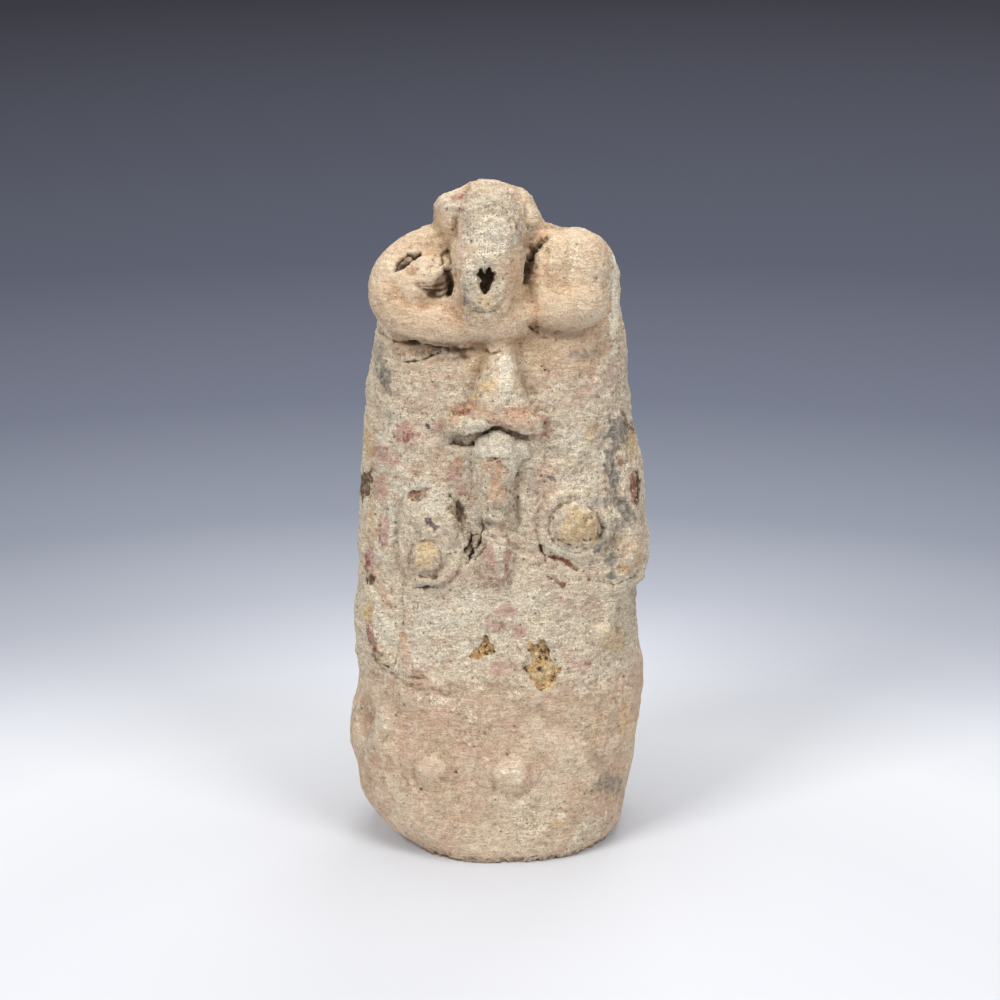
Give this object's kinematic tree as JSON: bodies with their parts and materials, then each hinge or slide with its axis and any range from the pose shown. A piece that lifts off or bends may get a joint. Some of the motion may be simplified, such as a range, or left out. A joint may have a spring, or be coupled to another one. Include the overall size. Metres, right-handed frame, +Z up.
{
  "type": "terracotta figure",
  "caption": "Hand-modelled terracotta figure, a tall slab of chaffy clay with a knob head, round ears, applied bosses and worn slip",
  "frame": {"origin": "the middle of the figure's outline, on the plane that its underside stands on", "axes": "+Z up the figure's height, +Y through its thickness towards its back, the front facing -Y"},
  "size_m": [0.1338, 0.093, 0.2997],
  "materials": {
    "terracotta": "unglazed, matte"
  },
  "bodies": {
    "root": {"terracotta_figure": "terracotta"}
  },
  "joints": []
}
